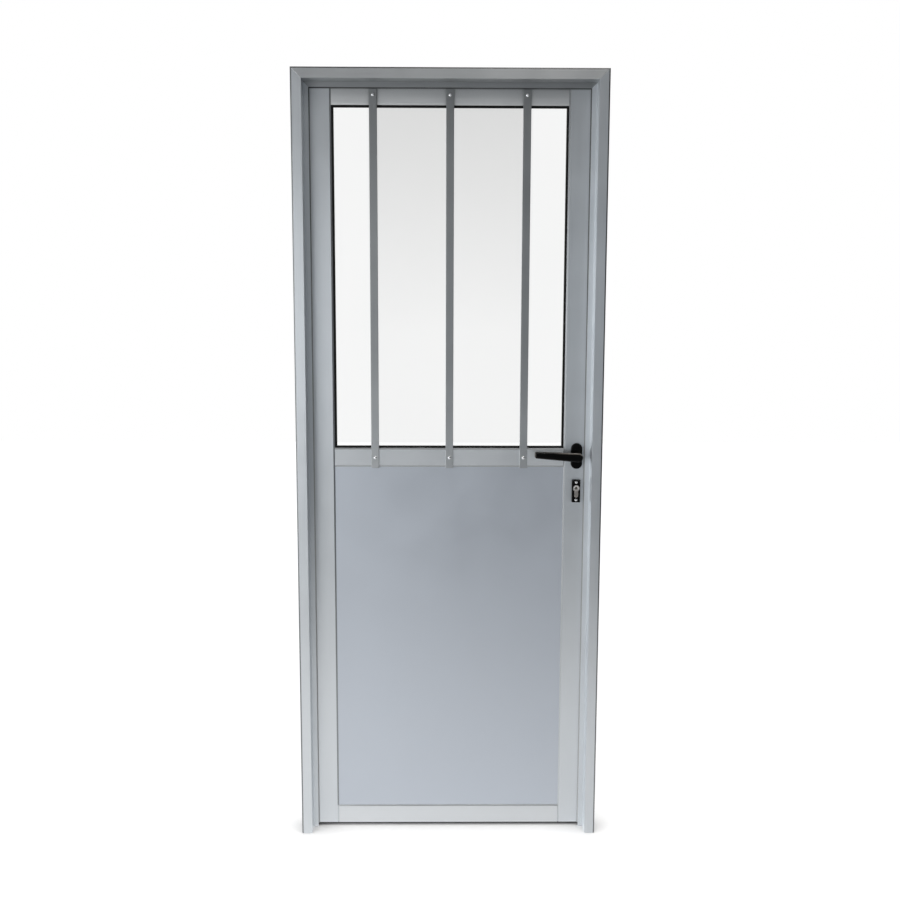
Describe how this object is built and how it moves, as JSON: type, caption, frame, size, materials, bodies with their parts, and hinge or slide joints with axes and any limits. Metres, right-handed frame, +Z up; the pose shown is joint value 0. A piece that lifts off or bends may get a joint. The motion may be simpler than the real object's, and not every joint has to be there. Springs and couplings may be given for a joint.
{
  "type": "half-glazed aluminium door",
  "caption": "Silver aluminium door leaf in its mitred frame, glass above behind upright bars and a solid panel below, with black lever handles, a mortice lock and back-mounted hinges.",
  "frame": {"origin": "on the floor, at the middle of the frame's width and of the leaf's thickness", "axes": "+Z up, +X to the lock side as seen from outside, +Y through the door to the inside, where it opens"},
  "size_m": [0.793, 0.126, 2],
  "materials": {
    "anodised_aluminium": "natural satin anodised",
    "panel_aluminium": "smooth satin, slightly blue-grey",
    "bar_aluminium": "satin mill",
    "cast_aluminium": "as cast",
    "hinge_aluminium": "natural satin anodised",
    "clear_glass": "clear float",
    "black_rubber": "matt",
    "black_metal": "black, semi-gloss",
    "bright_zinc": "bright zinc",
    "satin_nickel": "satin nickel",
    "lock_steel": "zinc plated",
    "bush_plastic": "black nylon"
  },
  "bodies": {
    "frame": {"hinge_jamb": "anodised_aluminium", "strike_jamb": "anodised_aluminium", "frame_head": "anodised_aluminium", "corner_cleats": "cast_aluminium", "hinge_side_seal": "black_rubber", "strike_side_seal": "black_rubber", "head_seal": "black_rubber", "strike_plate": "lock_steel", "strike_plate_screws": "bright_zinc", "lower_hinge_frame_plate": "hinge_aluminium", "middle_hinge_frame_plate": "hinge_aluminium", "upper_hinge_frame_plate": "hinge_aluminium", "hinge_pins": "lock_steel", "hinge_frame_screws": "bright_zinc"},
    "leaf": {"hinge_stile": "anodised_aluminium", "lock_stile": "anodised_aluminium", "top_rail": "anodised_aluminium", "middle_rail": "anodised_aluminium", "bottom_rail": "anodised_aluminium", "rail_joint_blocks": "cast_aluminium", "glass_pane": "clear_glass", "glass_front_gasket": "black_rubber", "glass_rear_gasket": "black_rubber", "glass_cross_beads": "anodised_aluminium", "glass_upright_beads": "anodised_aluminium", "lower_panel": "panel_aluminium", "panel_rear_gasket": "black_rubber", "panel_cross_beads": "anodised_aluminium", "panel_upright_beads": "anodised_aluminium", "left_security_bar": "bar_aluminium", "middle_security_bar": "bar_aluminium", "right_security_bar": "bar_aluminium", "bar_screws": "bright_zinc", "lower_hinge_leaf_plate": "hinge_aluminium", "middle_hinge_leaf_plate": "hinge_aluminium", "upper_hinge_leaf_plate": "hinge_aluminium", "hinge_bushes": "bush_plastic", "hinge_leaf_screws": "bright_zinc", "outside_rose": "black_metal", "inside_rose": "black_metal", "outside_escutcheon": "black_metal", "inside_escutcheon": "black_metal", "escutcheon_screws": "bright_zinc", "lock_case": "lock_steel", "lock_cover": "lock_steel", "lock_faceplate": "lock_steel", "faceplate_screws": "bright_zinc", "cylinder_body": "satin_nickel", "inner_plug": "satin_nickel", "cylinder_screw": "bright_zinc", "bottom_sweep": "black_rubber"},
    "handle": {"outside_lever": "black_metal", "inside_lever": "black_metal", "spindle": "lock_steel", "follower": "lock_steel"},
    "latch": {"latch_bolt": "lock_steel"},
    "key_plug": {"outer_plug": "satin_nickel", "cylinder_cam": "lock_steel"},
    "bolt": {"dead_bolt": "lock_steel"}
  },
  "joints": [
    {"name": "leaf_swing", "type": "hinge", "parent": "frame", "child": "leaf", "pos_m": [-0.36675, 0.026, 0], "axis": [0, 0, 1], "range_deg": [0, 110]},
    {"name": "handle_turn", "type": "hinge", "parent": "leaf", "child": "handle", "pos_m": [0.3345, 0, 1.028], "axis": [0, -1, 0], "range_deg": [0, 40], "stiffness_Nm_per_rad": 1.5, "springref_deg": -22.92},
    {"name": "latch_slide", "type": "slide", "parent": "leaf", "child": "latch", "axis": [-1, 0, 0], "range_m": [0, 0.011]},
    {"name": "key_turn", "type": "hinge", "parent": "leaf", "child": "key_plug", "pos_m": [0.3345, 0, 0.943], "axis": [0, 1, 0], "range_deg": [0, 360]},
    {"name": "bolt_slide", "type": "slide", "parent": "leaf", "child": "bolt", "axis": [1, 0, 0], "range_m": [0, 0.014]}
  ],
  "couplings": [
    {"joint": "latch_slide", "follows": "handle_turn", "m_per_rad": 0.015756},
    {"joint": "key_turn", "follows": "bolt_slide", "rad_per_m": 448.8}
  ]
}
